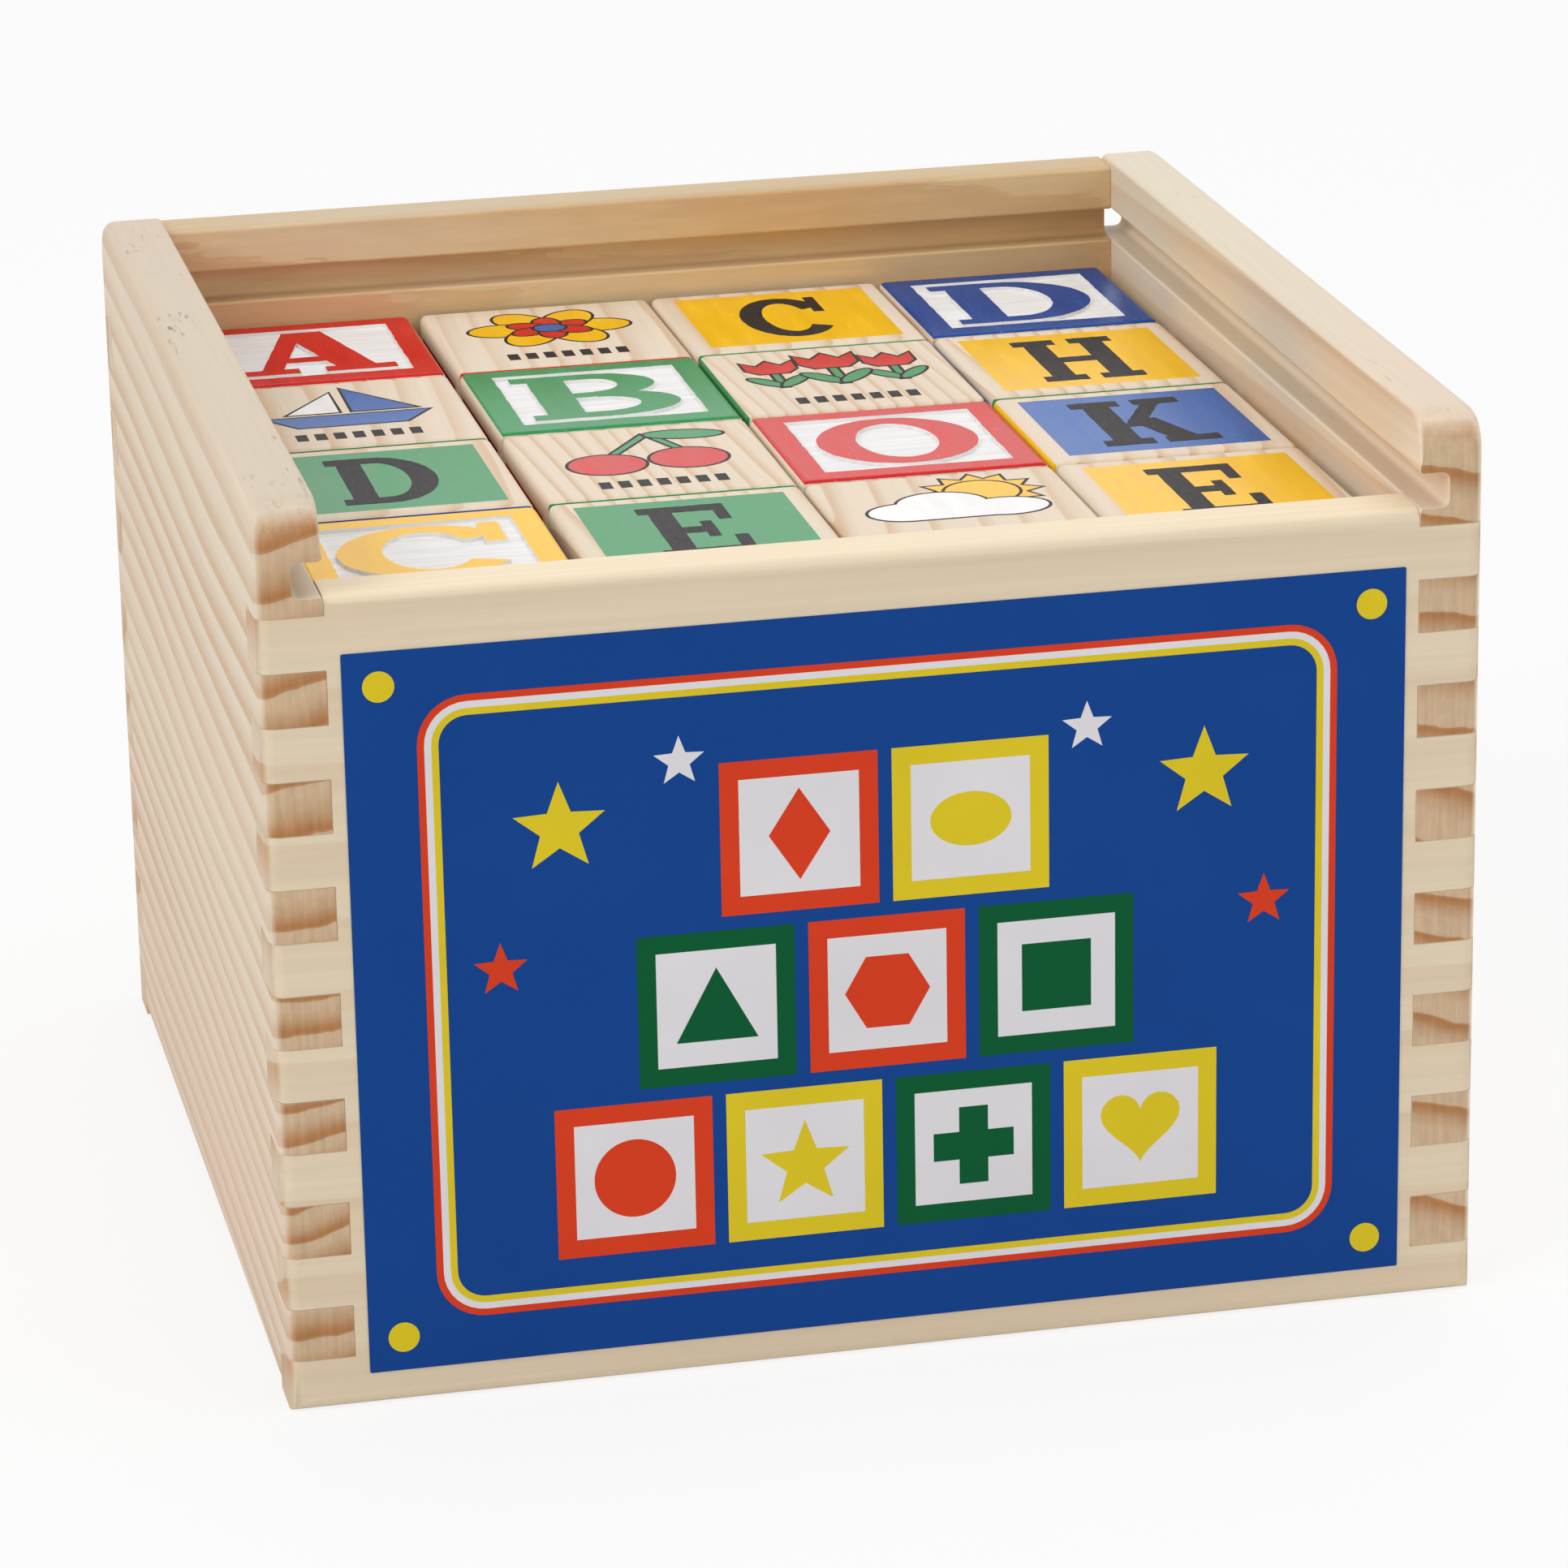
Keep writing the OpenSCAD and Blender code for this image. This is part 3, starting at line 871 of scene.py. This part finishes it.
class LETTERBOX_OT_ends(bpy.types.Operator):
    """Makes the front and back panels with their fingers"""

    bl_idname = "letterbox.ends"
    bl_label = "Front and back panels"

    def execute(self, context):
        sizes, tones = context.scene.box_sizes, context.scene.finishes
        sawn = (tones.pine_pale_end, tones.pine_band)
        front_tones = (tones.pine_front, tones.pine_band, tones.pine_front, *sawn)
        back_tones = (tones.heart, tones.heart_band, tones.pine_front, *sawn)
        # The front panel's top faces get a painted highlight (1.14) and the back panel's top faces painted
        # shade (0.8), through painted_top_light
        front_wood = pine("front_panel_pine", "x", (0, -0.2, -0.5), front_tones, 0.009, 0.3,
                          lean=(0, 0.6, 0), calm=0.8, painted_top_light=1.14)
        back_wood = pine("back_panel_pine", "x", (0, 0.106, 0.09), back_tones, 0.0085, 0.5,
                         lean=(0, 1.5, 5), calm=0.9, feather=0.006, painted_top_light=0.8)
        self.panel("front_panel", sizes, front_wood, False)
        self.panel("back_panel", sizes, back_wood, True)
        return {"FINISHED"}

    def panel(self, node, sizes, wood, grooved):
        wall, lip, finger = box_levels(sizes)
        low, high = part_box(node)
        way = -1 if low.y > 0 else 1
        outer, inner = (low.y, high.y) if way > 0 else (high.y, low.y)
        over = wall / 2
        piece = slab(node + "_wood", low, high)
        cutters = []
        gaps = [(k * finger, (k + 1) * finger) for k in range(1, sizes.fingers, 2)]
        gaps.append((lip - sizes.finger_lip, high.z + over))
        for side in (-1, 1):
            near, far = sorted((side * (high.x - wall), side * (high.x + over)))
            for foot, head in gaps:
                cutters.append(slab("notch", (near, low.y - over, foot), (far, high.y + over, head)))
        reach_in = inner + way * over
        near, far = sorted((inner - way * sizes.board_seat, reach_in))
        seat_x = high.x - wall + sizes.board_seat
        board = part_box("bottom_board")[1].z
        cutters.append(slab("seat", (-seat_x, near, -over), (seat_x, far, board)))
        if grooved:
            near, far = sorted((inner - way * sizes.groove_depth, reach_in))
            cutters.append(slab("groove", (low.x - over, near, lip),
                                (high.x + over, far, lip + sizes.groove_height)))
        combine(piece, cutters, "DIFFERENCE")

        def outside(a, b):
            at_side = min(abs(a.x), abs(b.x)) > high.x - NEAR
            at_rim = max(a.z, b.z) < NEAR or min(a.z, b.z) > high.z - NEAR
            return both_at(a, b, 1, outer) and (at_side or at_rim)

        def inside_top(a, b):
            return both_at(a, b, 1, inner) and min(a.z, b.z) > high.z - NEAR

        lips, roots = groove_edges(sizes, 1, inner, way, lip)
        round_edges(piece, outside, sizes.edge_round, 4)
        round_edges(piece, inside_top, sizes.inner_round, 3)
        if grooved:
            round_edges(piece, roots, sizes.root_round, 3)
            round_edges(piece, lips, sizes.lip_round, 2)
        fine_bevel(piece, sizes.joint_line)
        piece.data.materials.append(wood)
        smooth(piece)
        stand_for(piece, node, "box")


BOARD_ROUND = 0.0003


class LETTERBOX_OT_board(bpy.types.Operator):
    """Makes the thin board under the blocks"""

    bl_idname = "letterbox.board"
    bl_label = "Bottom board"

    def execute(self, context):
        tones = context.scene.finishes
        piece = slab("bottom_board_wood", *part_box("bottom_board"))
        round_edges(piece, lambda a, b: True, BOARD_ROUND, 2)
        board_tones = (tones.board, tones.pine_band, tones.board, tones.pine_end, tones.pine_end_band)
        piece.data.materials.append(pine("board_wood", "x", (0, 0, -0.11), board_tones, 0.014, 0.5,
                                         lean=(0, 4, 3)))
        smooth(piece)
        stand_for(piece, "bottom_board", "box")
        return {"FINISHED"}


def rounded_rectangle(half_x, half_y, radius, steps=8):
    rim = []
    for corner, (side_x, side_y) in enumerate(((1, 1), (-1, 1), (-1, -1), (1, -1))):
        for i in range(steps + 1):
            a = math.radians(90 * corner + 90 * i / steps)
            rim.append((side_x * (half_x - radius) + radius * math.cos(a),
                        side_y * (half_y - radius) + radius * math.sin(a)))
    return rim


# Shares of the label's thickness: the bare paper, and each layer of print on it
PAPER_SHARE = 0.55
PRINT_STEP = 0.05
PAPER_CORNER = 0.0002
STRIPES = ("red", "white", "yellow", "blue")
# Stars on each half: colour, how far in from the border's side and top, and reach
LABEL_STARS = (("yellow", 0.0165, 0.0175, 0.0058), ("white", 0.031, 0.0105, 0.0032),
               ("red", 0.009, 0.0345, 0.0034))
LABEL_DOT = 0.0019
# Tiles: room under the lowest row, tiles in each row, and the shares that window and shape take
TILE_FOOT = 0.0062
TILE_ROWS = (4, 3, 2)
TILE_WINDOW = 0.76
TILE_SHAPE = 0.26
TILE_TONES = ("red", "yellow", "green", "yellow", "green", "red", "green", "red", "yellow")


class LETTERBOX_OT_label(bpy.types.Operator):
    """Makes the paper label with its striped border and stack of printed tiles"""

    bl_idname = "letterbox.label"
    bl_label = "Front label"

    def execute(self, context):
        sizes, tones = context.scene.label_sizes, context.scene.finishes
        low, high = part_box("front_label")
        papers = {n: printed_paper("label_" + n, getattr(tones, "label_" + n))
                  for n in ("blue", "red", "yellow", "green", "white")}
        thick = high.y - low.y
        step = thick * PRINT_STEP
        half_x, half_y = (high.x - low.x) / 2, (high.z - low.z) / 2
        base = thick * PAPER_SHARE
        sheet = prism(rounded_rectangle(half_x, half_y, PAPER_CORNER, 3), 0, base)
        sheet.name = "front_label_paper"
        sheet.data.materials.append(papers["blue"])
        shapes = [sheet]

        def lay(outline, tone, level):
            shape = prism(outline, base - step / 2, base + step * level)
            shape.data.materials.append(papers[tone])
            shapes.append(shape)

        frame_x, frame_y = half_x - sizes.border_side, half_y - sizes.border_end
        for level, tone in enumerate(STRIPES):
            inset = level * sizes.stripe
            outline = rounded_rectangle(frame_x - inset, frame_y - inset, sizes.border_round - inset)
            lay(outline, tone, level + 1)
        above = len(STRIPES) + 1
        self.tiles(lay, sizes, frame_y, above)
        dot_x, dot_y = half_x - sizes.border_side / 2, half_y - sizes.border_side / 2
        for side in (-1, 1):
            for tone, inset, drop, reach in LABEL_STARS:
                lay(star(side * (frame_x - inset), frame_y - drop, reach), tone, above)
            for end in (-1, 1):
                lay(oval(side * dot_x, end * dot_y, LABEL_DOT, LABEL_DOT), "yellow", above)
        label = join(shapes)
        label.matrix_world = face_place(Vector((0, high.y, (low.z + high.z) / 2)), (0, -1, 0), (0, 0, 1))
        activate(label)
        bpy.ops.object.transform_apply(location=True, rotation=True, scale=True)
        stand_for(label, "front_label", "box")
        return {"FINISHED"}

    def tiles(self, lay, sizes, frame_y, above):
        """Stack of framed tiles, each with one plain shape."""
        half, pitch = sizes.tile / 2, sizes.tile + sizes.tile_gap
        reach = sizes.tile * TILE_SHAPE
        arm = 0.36
        plus = [(reach * x, reach * y) for x, y in (
            (-arm, -1), (arm, -1), (arm, -arm), (1, -arm), (1, arm), (arm, arm),
            (arm, 1), (-arm, 1), (-arm, arm), (-1, arm), (-1, -arm), (-arm, -arm))]
        shapes = [
            oval(0, 0, reach, reach, 0, 40), star(0, -reach * 0.08, reach * 1.15), plus,
            heart_shape(0, 0, reach), [(-reach, -reach * 0.85), (reach, -reach * 0.85), (0, reach)],
            oval(0, 0, reach * 1.05, reach * 1.05, 0, 6),
            bar(-reach * 0.86, -reach * 0.86, reach * 0.86, reach * 0.86),
            oval(0, 0, reach * 0.75, reach * 1.15, 0, 4), oval(0, 0, reach, reach * 0.68, 0, 40),
        ]
        placed = iter(zip(shapes, TILE_TONES))
        window = half * TILE_WINDOW
        for row, count in enumerate(TILE_ROWS):
            y = -frame_y + TILE_FOOT + half + row * pitch
            for column in range(count):
                shape, tone = next(placed)
                x = (column - (count - 1) / 2) * pitch
                lay(shifted(bar(-half, -half, half, half), x, y), tone, above)
                lay(shifted(bar(-window, -window, window, window), x, y), "white", above + 1)
                lay(shifted(shape, x, y), tone, above + 2)


# Share of the print's height that stands on a block's wood
PROUD = 0.6
# Grain of the blocks' woods: heart line, width of a ring, and degrees of lean
BLOCK_GRAINS = (
    ((-0.21, 0, 0.02), 0.0031, 2), ((0.19, 0, -0.04), 0.0042, -3),
    ((-0.17, 0, 0.3), 0.0036, -1), ((0.26, 0, 0.12), 0.0026, 3),
)
# How much bare wood shows through paint and print
PAINT_WEAR = 0.3
PRINT_WEAR = 0.2
# Longest straight run and waver of a painted frame's inner edge, and of a letter of unit height
FRAME_FRAY = (0.0012, 0.00013)
LETTER_FRAY = (0.06, 0.006)
FRAY_ROOM = 0.0003
# Seed of that waver, so that it is the same in each run
FRAY_SEED = 7
# Material slots of a block's wood
BARE, FRAME_UP, FRAME_DOWN, GROUND, PANEL_UP, PANEL_DOWN = range(6)


class LETTERBOX_OT_blocks(bpy.types.Operator):
    """Makes the forty-eight letter blocks with raised letters, printed letters and pictures"""

    bl_idname = "letterbox.blocks"
    bl_label = "Letter blocks"

    def execute(self, context):
        self.sizes, tones = context.scene.block_sizes, context.scene.finishes
        noise.seed_set(FRAY_SEED)
        low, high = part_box("top_block_r1_c1")
        self.half = (high.x - low.x) / 2 - PROUD * self.sizes.print_height
        pines = (tones.block_pine, tones.block_band, tones.block_pine, tones.block_pine,
                 tones.block_band)
        self.woods = [
            pine("block_pine_%d" % i, "y", heart, pines, spacing, 0.7, lean=(0, 0, lean), late_from=0.58)
            for i, (heart, spacing, lean) in enumerate(BLOCK_GRAINS, 1)
        ]
        self.paints = {n: paint("paint_" + n, getattr(tones, n), PAINT_WEAR) for n in PAINT_NAMES}
        self.prints = {n: paint("print_" + n, getattr(tones, n), PRINT_WEAR)
                       for n in ("red", "green", "yellow", "white")}
        self.prints["blue"] = paint("print_blue", tones.print_blue, PRINT_WEAR)
        self.ground = routed_white("routed_white", tones.white)
        self.ink = printed_ink("print_ink", tones.ink)
        self.prints["ink"] = self.ink
        blank = self.blank()
        letters = {letter: self.letter(strokes) for letter, strokes in LETTERS.items()}
        pictures = {name: self.picture(shapes) for name, shapes in PICTURES.items()}
        count = 0
        for layer in LAYERS:
            for row, faces in enumerate(TOP_ROWS, 1):
                for column, face in enumerate(faces, 1):
                    node = "%s_block_r%d_c%d" % (layer, row, column)
                    shown = face if layer == "top" else None
                    piece = self.block(node, blank, letters, pictures, count, shown)
                    smooth(piece)
                    stand_for(piece, node, node)
                    count += 1
        for pattern in (blank, *letters.values(), *pictures.values()):
            bpy.data.objects.remove(pattern)
        return {"FINISHED"}

    def blank(self):
        """Bare block with routed grounds on its Z faces and marked panels on its Y faces."""
        sizes, half = self.sizes, self.half
        piece = slab("block_blank", (-half,) * 3, (half,) * 3)
        round_edges(piece, lambda a, b: True, sizes.edge_round, 4)
        for side in (-1, 1):
            open_faces(piece, lambda c, n: n.z * side > FACING and abs(c.x) + abs(c.y) < NEAR)
            bpy.ops.mesh.inset(thickness=sizes.frame_width - sizes.edge_round)
            sink = (0, 0, -side * sizes.ground_depth)
            bpy.ops.mesh.extrude_region_move(TRANSFORM_OT_translate={"value": sink})
            bpy.ops.object.mode_set(mode="OBJECT")
            open_faces(piece, lambda c, n: n.y * side > FACING and abs(c.x) + abs(c.z) < NEAR)
            bpy.ops.mesh.inset(thickness=sizes.panel_margin - sizes.edge_round)
            bpy.ops.object.mode_set(mode="OBJECT")
        rim = half - sizes.frame_width
        pocket = rim + FRAY_ROOM
        floor = half - sizes.ground_depth - NEAR
        fray(piece, lambda v: abs(max(abs(v.x), abs(v.y)) - rim) < MERGED and abs(v.z) > floor,
             *FRAME_FRAY)
        for face in piece.data.polygons:
            c, n = face.center, face.normal
            if floor < abs(c.z) < half - NEAR and max(abs(c.x), abs(c.y)) < pocket:
                face.material_index = GROUND
            elif abs(n.z) > 0.7:
                face.material_index = FRAME_UP if c.z > 0 else FRAME_DOWN
            elif abs(n.y) > FACING and abs(c.x) + abs(c.z) < NEAR:
                face.material_index = PANEL_UP if c.y > 0 else PANEL_DOWN
            else:
                face.material_index = BARE
        return piece

    def letter(self, strokes):
        """Solid letter of unit height about its middle, its top face first in the slots."""
        solids = [prism(shifted(stroke, -0.5, -0.5), 0, 1) for stroke in strokes]
        piece = solids[0]
        combine(piece, solids[1:], "UNION")
        fray(piece, lambda v: True, *LETTER_FRAY)
        for face in piece.data.polygons:
            face.material_index = 0 if face.normal.z > 0.5 else 1
        return piece

    def picture(self, shapes):
        """Printed picture: shapes with a dark line round them, over a row of dark bars."""
        unit, high = 0.001, self.sizes.print_height
        parts = []

        def lay(outlines, tone, level):
            solids = [prism(shifted(outline, 0, 0, unit), -0.4 * high, high * level)
                      for outline in outlines]
            if len(solids) > 1:
                combine(solids[0], solids[1:], "UNION")
            solids[0].data.materials.append(self.prints[tone])
            parts.append(solids[0])

        for i, (tone, *outlines) in enumerate(shapes):
            # Each shape lies a little higher than the one before, and its colour above its line
            rise = 0.4 + 0.5 * i / len(shapes)
            lay([grown(outline, OUTLINE) for outline in outlines], "ink", rise)
            lay(outlines, tone, rise + 0.25 / len(shapes))
        for i in range(FOOT_BARS):
            lay([shifted(FOOT_BAR, FOOT_PITCH * (i - FOOT_BARS // 2), FOOT_Y)], "ink", 0.5)
        return join(parts)

    def block(self, node, blank, letters, pictures, count, shown):
        """One block, with letters and pictures by its count and by what shows on top of it."""
        sizes = self.sizes
        low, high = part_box(node)
        centre = (low + high) / 2
        routed = self.routed_axis(node)
        kind = shown[0] if shown else None
        printed, pictured = (routed + 1) % 3, (routed + 2) % 3
        if (kind == "printed" and printed != 2) or (kind == "picture" and pictured != 2):
            printed, pictured = pictured, printed
        # Two raised letters and two printed ones, the shown face first of its kind
        tints = [PAINT_NAMES[(count + i) % len(PAINT_NAMES)] for i in range(4)]
        marks = [ALPHABET[(5 * count + 7 * i) % len(ALPHABET)] for i in range(4)]
        views = [PICTURE_NAMES[(count + 3 * i) % len(PICTURE_NAMES)] for i in range(2)]
        if kind == "raised":
            marks[0], tints[0] = shown[1], shown[2]
        elif kind == "printed":
            marks[2], tints[2] = shown[1], shown[2]
        elif kind == "picture":
            views[0] = shown[1]
        if shown and shown[3]:
            tints[1] = shown[3]

        turn = Matrix((AXES[printed].cross(AXES[routed]), AXES[printed], AXES[routed])).transposed()
        piece = placed_copy(blank, Matrix.Translation(centre) @ turn.to_4x4())
        piece.name = node + "_wood"
        # Each row starts with another wood
        row = count // len(TOP_ROWS[0])
        for material in (self.woods[(count + row) % len(self.woods)], self.paints[tints[0]],
                         self.paints[tints[1]], self.ground, self.prints[tints[2]],
                         self.prints[tints[3]]):
            piece.data.materials.append(material)
        parts = [piece]
        sunk, thin = sizes.ground_depth * 1.1, sizes.print_height
        for side, way in enumerate((1, -1)):
            stretch = (sizes.raised_width, sizes.raised_height, sunk)
            raised = placed_copy(letters[marks[side]], self.place(centre, routed, way, sunk, stretch))
            raised.data.materials.append(self.paints[tints[side]])
            raised.data.materials.append(self.ground)
            mark = marks[2 + side]
            stretch = (sizes.printed_width * PRINT_WIDTHS[mark], sizes.printed_height, thin)
            flat = placed_copy(letters[mark], self.place(centre, printed, way, 0.5 * thin, stretch))
            flat.data.materials.append(self.ink)
            flat.data.materials.append(self.ink)
            view = placed_copy(pictures[views[side]], self.place(centre, pictured, way, 0, (1, 1, PROUD)))
            parts += [raised, flat, view]
        return join(parts)

    def place(self, centre, axis, way, depth, stretch):
        """Matrix that lays a flat drawing in a block's face across an axis, upright or top to the back."""
        normal = AXES[axis] * way
        up = AXES[1] if axis == 2 else AXES[2]
        return face_place(centre + normal * (self.half - depth), normal, up) @ Matrix.Diagonal((*stretch, 1))

    def routed_axis(self, node):
        """Axis through a block's two routed panels, read from its CAD solid."""
        low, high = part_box(node)
        centre, reach = (low + high) / 2, (high - low) / 2
        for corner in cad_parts[node].data.vertices:
            away = corner.co - centre
            for axis in range(3):
                others = [abs(away[i]) for i in range(3) if i != axis]
                on_ground = abs(abs(away[axis]) - reach.x + self.sizes.ground_depth) < NEAR
                if on_ground and max(others) < reach.x - 0.8 * self.sizes.frame_width:
                    return axis
        raise ValueError(node + " has no routed panels")


# Square lamps: name, place, edge and watts, and the point that they all face
LAMPS = (
    ("key_lamp", (-1.1, -0.55, 1.0), 0.9, 9),
    ("top_lamp", (0.35, 0.1, 1.5), 1.2, 7.6),
    ("back_lamp", (0.3, 1.5, 0.75), 1.2, 3.3),
    ("fill_lamp", (0.9, -1.1, 0.55), 1.0, 3.5),
)
LAMP_AIM = Vector((0, 0, 0.06))
# Share of the floor that the camera sees as plain white, while the rest keeps the shadow
FLOOR_GLOW = 0.8
# Strength of the sky as a light
SKY_LIGHT = 0.4


class LETTERBOX_OT_stage(bpy.types.Operator):
    """Sets the floor, soft lamps and camera"""

    bl_idname = "letterbox.stage"
    bl_label = "Stage"

    def execute(self, context):
        stage = context.scene.stage_settings
        scene = context.scene
        scene.view_settings.view_transform = "Standard"
        self.floor(stage)
        self.world(scene)
        for name, place, size, power in LAMPS:
            self.lamp(name, Vector(place), size, power)
        self.camera(scene, stage)
        return {"FINISHED"}

    def floor(self, stage):
        deselect()
        bpy.ops.mesh.primitive_plane_add(size=stage.floor_size, location=(0, 0, 0))
        floor = bpy.context.object
        floor.name = "floor"
        pale = Surface("pale_floor")
        pale.shader.inputs["Base Color"].default_value = (*stage.floor_colour, 1)
        pale.shader.inputs["Roughness"].default_value = 0.9
        pale.shader.inputs["Specular IOR Level"].default_value = 0.1
        glow = pale.add("ShaderNodeEmission", {"Color": (1, 1, 1, 1), "Strength": 1.0})
        mixed = pale.add("ShaderNodeMixShader",
                         {0: pale.seen(FLOOR_GLOW), 1: pale.shader.outputs[0], 2: glow})
        pale.tree.links.new(mixed, pale.tree.nodes["Material Output"].inputs["Surface"])
        floor.data.materials.append(pale.material)

    def world(self, scene):
        """White to the camera and in reflections, and dimmer as a light."""
        sky = bpy.data.worlds.new("studio")
        scene.world = sky
        sky.use_nodes = True
        studio = Nodes(sky.node_tree)
        background = studio.tree.nodes["Background"]
        background.inputs["Color"].default_value = (1, 1, 1, 1)
        strength = studio.math("ADD", studio.seen(1 - SKY_LIGHT), SKY_LIGHT)
        studio.tree.links.new(strength, background.inputs["Strength"])

    def lamp(self, name, place, size, power):
        deselect()
        bpy.ops.object.light_add(type="AREA", location=place)
        lamp = bpy.context.object
        lamp.name = name
        lamp.data.shape = "SQUARE"
        lamp.data.size = size
        lamp.data.energy = power
        lamp.rotation_euler = (LAMP_AIM - place).to_track_quat("-Z", "Y").to_euler()

    def camera(self, scene, stage):
        deselect()
        turn, rise = stage.azimuth, stage.elevation
        back = Vector((math.sin(turn) * math.cos(rise), -math.cos(turn) * math.cos(rise), math.sin(rise)))
        right = (-back).cross(Vector((0, 0, 1))).normalized()
        up = right.cross(-back)
        tilt_right = right * math.cos(stage.roll) + up * math.sin(stage.roll)
        tilt_up = up * math.cos(stage.roll) - right * math.sin(stage.roll)
        bpy.ops.object.camera_add(location=Vector(stage.aim) + back * stage.distance)
        camera = bpy.context.object
        camera.rotation_euler = Matrix((tilt_right, tilt_up, back)).transposed().to_euler()
        camera.data.lens = stage.lens
        camera.data.sensor_width = 36
        camera.data.clip_start, camera.data.clip_end = 0.01, 50
        scene.camera = camera


class LETTERBOX_PT_pieces(bpy.types.Panel):
    """Lists the steps that make the box and its blocks"""

    bl_label = "Letter blocks"
    bl_idname = "LETTERBOX_PT_pieces"
    bl_space_type = "VIEW_3D"
    bl_region_type = "UI"
    bl_category = "Letter blocks"

    def draw(self, context):
        for step in STEPS:
            self.layout.operator(step.bl_idname)


STEPS = (LETTERBOX_OT_stage, LETTERBOX_OT_sides, LETTERBOX_OT_ends, LETTERBOX_OT_board,
         LETTERBOX_OT_label, LETTERBOX_OT_blocks)
GROUPS = {"box_sizes": BoxSizes, "block_sizes": BlockSizes, "label_sizes": LabelSizes,
          "finishes": Finishes, "stage_settings": StageSettings}


def register():
    for kind in (*GROUPS.values(), *STEPS, LETTERBOX_PT_pieces):
        bpy.utils.register_class(kind)
    for name, group in GROUPS.items():
        setattr(bpy.types.Scene, name, PointerProperty(type=group))


def unregister():
    for name in GROUPS:
        delattr(bpy.types.Scene, name)
    for kind in (LETTERBOX_PT_pieces, *STEPS[::-1], *list(GROUPS.values())[::-1]):
        bpy.utils.unregister_class(kind)


def main():
    register()
    bpy.ops.letterbox.stage()
    bpy.ops.letterbox.sides()
    bpy.ops.letterbox.ends()
    bpy.ops.letterbox.board()
    bpy.ops.letterbox.label()
    bpy.ops.letterbox.blocks()


if __name__ == "__main__":
    main()
